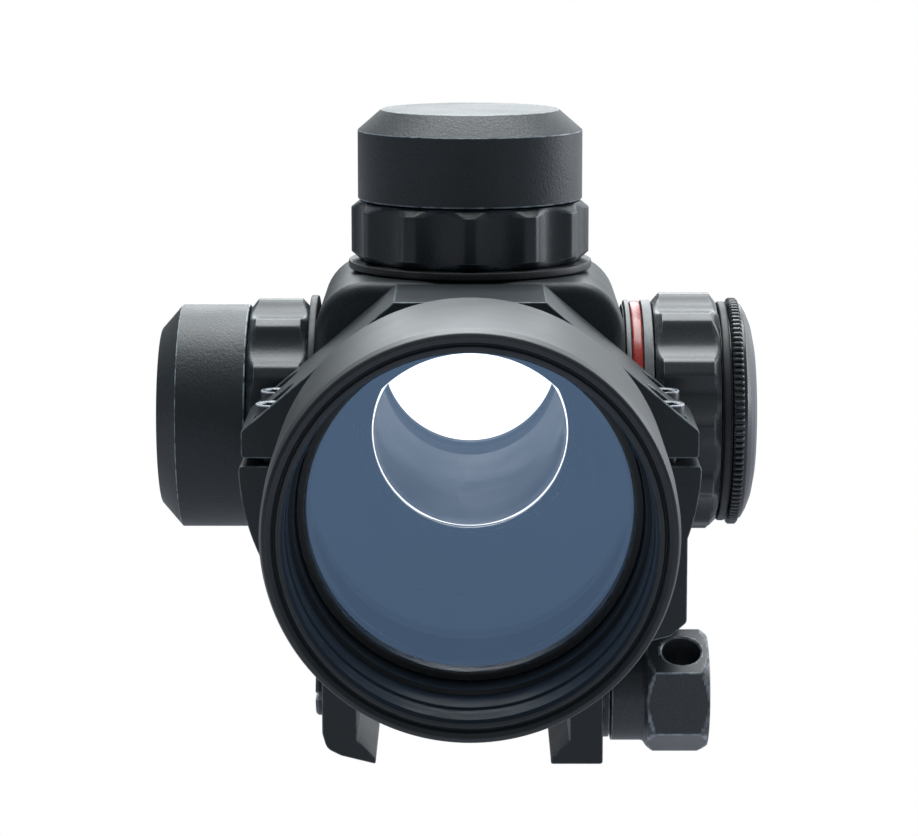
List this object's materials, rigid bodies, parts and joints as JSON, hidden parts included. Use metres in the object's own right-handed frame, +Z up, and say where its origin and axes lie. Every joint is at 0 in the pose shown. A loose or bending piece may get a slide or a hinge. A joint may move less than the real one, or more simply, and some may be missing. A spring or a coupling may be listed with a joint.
{
  "type": "red dot sight",
  "caption": "Tube-type red dot sight with capped elevation and windage turrets, battery rheostat dial and a split-ring rail clamp.",
  "frame": {"origin": "on the rail seat's flat underside, in the vertical plane of the optical axis, at the middle of the pad behind the clamp bolt", "axes": "+Z up from the rail towards the tube, +Y along the optical axis towards the eye, +X towards the battery dial"},
  "size_m": [0.08, 0.143, 0.0814],
  "materials": {
    "black_anodised": "fine sand-blasted black anodising, satin",
    "bell_black": "smooth matte black coating",
    "grey_anodised": "grey satin anodising",
    "black_rubber": "matte black rubber",
    "red_rubber": "glossy red rubber",
    "black_steel": "black oxide steel, satin",
    "spring_steel": "bright spring steel",
    "cell_steel": "bright nickel-plated steel",
    "brass": "turned brass, satin",
    "coated_glass": "clear glass with a blue-grey coating",
    "clear_glass": "clear coated glass",
    "bright_metal": "bright turned aluminium",
    "board_green": "green circuit board with lacquer",
    "led_red": "clear red resin"
  },
  "bodies": {
    "housing": {"objective_bell": "bell_black", "front_lens_ring": "black_anodised", "objective_lens": "coated_glass", "main_housing": "black_anodised", "eyepiece_housing": "black_anodised", "rear_lens": "clear_glass", "rear_lens_ring": "black_anodised", "gimbal_pin_top": "spring_steel", "gimbal_pin_bottom": "spring_steel", "bias_spring": "spring_steel", "elevation_gasket": "black_rubber", "elevation_ring": "black_anodised", "elevation_seal": "black_rubber", "elevation_scale_plate": "grey_anodised", "windage_gasket": "black_rubber", "windage_ring": "black_anodised", "windage_seal": "black_rubber", "windage_scale_plate": "grey_anodised", "rheostat_gasket": "black_rubber", "rheostat_base": "grey_anodised", "rheostat_index_band": "red_rubber", "detent_ball": "spring_steel", "rheostat_clip": "spring_steel", "ring_cap": "black_anodised", "ring_base": "black_anodised", "ring_screw_front_left": "black_steel", "ring_screw_front_right": "black_steel", "ring_screw_rear_left": "black_steel", "ring_screw_rear_right": "black_steel", "clamp_washer": "black_steel"},
    "gimbal": {"gimbal_ring": "brass", "gimbal_pin_left": "spring_steel", "gimbal_pin_right": "spring_steel"},
    "sight_tube": {"inner_tube": "black_anodised", "collimator_lens": "clear_glass", "collimator_ring": "bright_metal", "led_bracket": "black_anodised", "led_emitter": "led_red"},
    "elevation_cap": {"elevation_cap": "black_anodised"},
    "elevation_dial": {"elevation_dial": "grey_anodised"},
    "elevation_plunger": {"elevation_plunger": "brass"},
    "windage_cap": {"windage_cap": "black_anodised"},
    "windage_dial": {"windage_dial": "grey_anodised"},
    "windage_plunger": {"windage_plunger": "brass"},
    "rheostat_dial": {"rheostat_dial": "black_anodised", "rheostat_board": "board_green", "coin_cell": "cell_steel"},
    "battery_cap": {"battery_cap": "black_anodised", "battery_cap_seal": "black_rubber", "contact_spring": "brass"},
    "clamp_jaw": {"clamp_jaw": "black_anodised", "clamp_bolt": "black_steel", "jaw_guide_pin_front": "spring_steel", "jaw_guide_pin_rear": "spring_steel"},
    "clamp_nut": {"clamp_nut": "black_steel"}
  },
  "joints": [
    {"name": "elevation_cap_lift", "type": "slide", "parent": "housing", "child": "elevation_cap", "axis": [0, 0, 1], "range_m": [0, 0.016]},
    {"name": "elevation_dial_turn", "type": "hinge", "parent": "housing", "child": "elevation_dial", "pos_m": [0, 0.0205, 0.0632], "axis": [0, 0, -1], "range_deg": [-360, 360]},
    {"name": "elevation_plunger_slide", "type": "slide", "parent": "housing", "child": "elevation_plunger", "axis": [0, 0, -1], "range_m": [-0.0005, 0.0005]},
    {"name": "sight_tube_tilt", "type": "hinge", "parent": "gimbal", "child": "sight_tube", "pos_m": [0, 0.0607, 0.0332], "axis": [1, 0, 0], "range_deg": [-0.71, 0.71], "deforming": ["bias_spring"]},
    {"name": "windage_cap_lift", "type": "slide", "parent": "housing", "child": "windage_cap", "axis": [-1, 0, 0], "range_m": [0, 0.016]},
    {"name": "windage_dial_turn", "type": "hinge", "parent": "housing", "child": "windage_dial", "pos_m": [-0.03, 0.0205, 0.0332], "axis": [1, 0, 0], "range_deg": [-360, 360]},
    {"name": "windage_plunger_slide", "type": "slide", "parent": "housing", "child": "windage_plunger", "axis": [1, 0, 0], "range_m": [-0.0005, 0.0005]},
    {"name": "gimbal_turn", "type": "hinge", "parent": "housing", "child": "gimbal", "pos_m": [0, 0.0607, 0.0332], "axis": [0, 0, 1], "range_deg": [-0.71, 0.71], "deforming": ["bias_spring"]},
    {"name": "rheostat_dial_turn", "type": "hinge", "parent": "housing", "child": "rheostat_dial", "pos_m": [0.028, 0.0205, 0.0338], "axis": [1, 0, 0], "range_deg": [0, 300]},
    {"name": "battery_cap_lift", "type": "slide", "parent": "rheostat_dial", "child": "battery_cap", "axis": [1, 0, 0], "range_m": [0, 0.016]},
    {"name": "clamp_jaw_slide", "type": "slide", "parent": "housing", "child": "clamp_jaw", "axis": [1, 0, 0], "range_m": [0, 0.0052]},
    {"name": "clamp_nut_turn", "type": "hinge", "parent": "housing", "child": "clamp_nut", "pos_m": [0.026, -0.0058, 0.0015], "axis": [-1, 0, 0], "range_deg": [0, 2340]}
  ],
  "couplings": [
    {"joint": "elevation_dial_turn", "follows": "elevation_plunger_slide", "rad_per_m": 12566},
    {"joint": "sight_tube_tilt", "follows": "elevation_plunger_slide", "rad_per_m": 24.876},
    {"joint": "windage_dial_turn", "follows": "windage_plunger_slide", "rad_per_m": 12566},
    {"joint": "gimbal_turn", "follows": "windage_plunger_slide", "rad_per_m": 24.876},
    {"joint": "clamp_nut_turn", "follows": "clamp_jaw_slide", "rad_per_m": 7854}
  ]
}
